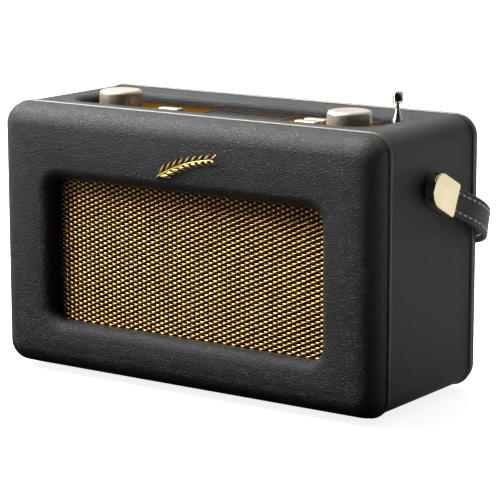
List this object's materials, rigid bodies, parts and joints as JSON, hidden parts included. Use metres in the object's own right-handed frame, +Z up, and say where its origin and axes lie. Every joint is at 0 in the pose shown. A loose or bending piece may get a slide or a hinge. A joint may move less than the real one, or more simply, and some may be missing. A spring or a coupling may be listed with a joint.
{
  "type": "portable radio",
  "caption": "Leather-covered portable radio with a gold mesh grille, a top control well with two knobs, a telescopic aerial and a swinging strap handle.",
  "frame": {"origin": "on the surface that the feet rest on, at the middle of the whole radio with its strap hanging behind", "axes": "+X to the right along the front, +Y to the back, +Z up"},
  "size_m": [0.2722, 0.1302, 0.1668],
  "materials": {
    "leathercloth": "fine pebble grain leathercloth, near-black charcoal",
    "wood": "plain plywood and fibreboard",
    "piping": "olive-gold piping",
    "gold_mesh": "gold-anodised expanded metal",
    "brass": "polished pale brass",
    "panel_gold": "bronze-gold brushed panel",
    "cream": "cream satin plastic",
    "black_plastic": "black moulded plastic",
    "window": "dark glossy display window",
    "chrome": "bright chrome",
    "steel": "zinc-plated steel",
    "paper": "black pulp paper cone",
    "board_green": "green circuit board",
    "magnet": "ferrite and plated steel",
    "cell": "plain wrapped dry cell",
    "rubber": "black rubber",
    "strap": "stitched black strap leather"
  },
  "bodies": {
    "cabinet": {"aerial_bush": "black_plastic", "aerial_holder": "black_plastic", "amplifier_heatsink": "steel", "badge": "brass", "battery_box": "black_plastic", "battery_cells": "cell", "battery_contacts": "steel", "cabinet_cover": "leathercloth", "cabinet_shell": "wood", "case_screws": "steel", "control_board": "board_green", "control_panel": "panel_gold", "dc_socket": "black_plastic", "display_bezel": "black_plastic", "display_module": "black_plastic", "display_window": "window", "encoders": "steel", "front_cover": "leathercloth", "front_frame": "wood", "front_piping": "piping", "grille_clamp": "black_plastic", "grille_mesh": "gold_mesh", "handle_bosses": "brass", "handle_pivots": "steel", "inner_screws": "steel", "jack_sockets": "black_plastic", "main_board": "board_green", "rear_battens": "wood", "rear_panel": "leathercloth", "rear_piping": "piping", "rubber_feet": "rubber", "socket_plate": "panel_gold", "speaker_board": "wood", "speaker_cone": "paper", "speaker_frame": "steel", "speaker_magnet": "magnet", "standoffs": "brass", "tact_switches": "black_plastic", "tuner_module": "steel"},
    "handle": {"handle_strap": "strap", "handle_clips": "brass"},
    "volume": {"volume_knob": "cream", "volume_shaft": "steel"},
    "tuning_press": {"tuning_plunger": "black_plastic"},
    "tuning": {"tuning_knob": "cream", "tuning_shaft": "steel"},
    "aerial_base": {"aerial_base_tube": "chrome"},
    "aerial_2": {"aerial_tube_2": "chrome"},
    "aerial_3": {"aerial_tube_3": "chrome"},
    "aerial_4": {"aerial_tube_4": "chrome"},
    "aerial_5": {"aerial_tube_5": "chrome"},
    "aerial_tip": {"aerial_rod": "chrome"},
    "battery_door": {"battery_door": "black_plastic"},
    "power_button": {"power_button": "cream"},
    "source_button": {"source_button": "cream"},
    "alarm_button": {"alarm_button": "cream"},
    "menu_button": {"menu_button": "cream"},
    "info_button": {"info_button": "cream"},
    "preset_one_button": {"preset_one_button": "cream"},
    "preset_two_button": {"preset_two_button": "cream"}
  },
  "joints": [
    {"name": "handle_swing", "type": "hinge", "parent": "cabinet", "child": "handle", "pos_m": [0, -0.0075, 0.119], "axis": [1, 0, 0], "range_deg": [-2, 235]},
    {"name": "volume_turn", "type": "hinge", "parent": "cabinet", "child": "volume", "pos_m": [-0.077, -0.0119, 0.148], "axis": [0, 0, -1], "continuous": true},
    {"name": "tuning_push", "type": "slide", "parent": "cabinet", "child": "tuning_press", "axis": [0, 0, -1], "range_m": [0, 0.0006], "stiffness_N_per_m": 1200, "springref_m": -0.0004},
    {"name": "tuning_turn", "type": "hinge", "parent": "tuning_press", "child": "tuning", "pos_m": [0.077, -0.0119, 0.148], "axis": [0, 0, -1], "continuous": true},
    {"name": "aerial_turn", "type": "hinge", "parent": "cabinet", "child": "aerial_base", "pos_m": [0.0936, 0.0099, 0.149], "axis": [0, 0, 1], "continuous": true},
    {"name": "aerial_slide_1", "type": "slide", "parent": "aerial_base", "child": "aerial_2", "axis": [0, 0, 1], "range_m": [0, 0.095]},
    {"name": "aerial_slide_2", "type": "slide", "parent": "aerial_2", "child": "aerial_3", "axis": [0, 0, 1], "range_m": [0, 0.095]},
    {"name": "aerial_slide_3", "type": "slide", "parent": "aerial_3", "child": "aerial_4", "axis": [0, 0, 1], "range_m": [0, 0.095]},
    {"name": "aerial_slide_4", "type": "slide", "parent": "aerial_4", "child": "aerial_5", "axis": [0, 0, 1], "range_m": [0, 0.095]},
    {"name": "aerial_slide_5", "type": "slide", "parent": "aerial_5", "child": "aerial_tip", "axis": [0, 0, 1], "range_m": [0, 0.095]},
    {"name": "power_push", "type": "slide", "parent": "cabinet", "child": "power_button", "axis": [0, 0, -1], "range_m": [0, 0.0007], "stiffness_N_per_m": 500, "springref_m": -0.0004},
    {"name": "source_push", "type": "slide", "parent": "cabinet", "child": "source_button", "axis": [0, 0, -1], "range_m": [0, 0.0007], "stiffness_N_per_m": 500, "springref_m": -0.0004},
    {"name": "alarm_push", "type": "slide", "parent": "cabinet", "child": "alarm_button", "axis": [0, 0, -1], "range_m": [0, 0.0007], "stiffness_N_per_m": 500, "springref_m": -0.0004},
    {"name": "menu_push", "type": "slide", "parent": "cabinet", "child": "menu_button", "axis": [0, 0, -1], "range_m": [0, 0.0007], "stiffness_N_per_m": 500, "springref_m": -0.0004},
    {"name": "info_push", "type": "slide", "parent": "cabinet", "child": "info_button", "axis": [0, 0, -1], "range_m": [0, 0.0007], "stiffness_N_per_m": 500, "springref_m": -0.0004},
    {"name": "preset_one_push", "type": "slide", "parent": "cabinet", "child": "preset_one_button", "axis": [0, 0, -1], "range_m": [0, 0.0007], "stiffness_N_per_m": 500, "springref_m": -0.0004},
    {"name": "preset_two_push", "type": "slide", "parent": "cabinet", "child": "preset_two_button", "axis": [0, 0, -1], "range_m": [0, 0.0007], "stiffness_N_per_m": 500, "springref_m": -0.0004},
    {"name": "battery_door_swing", "type": "hinge", "parent": "cabinet", "child": "battery_door", "pos_m": [-0.059, 0.043, 0.0209], "axis": [-1, 0, 0], "range_deg": [0, 100]}
  ]
}
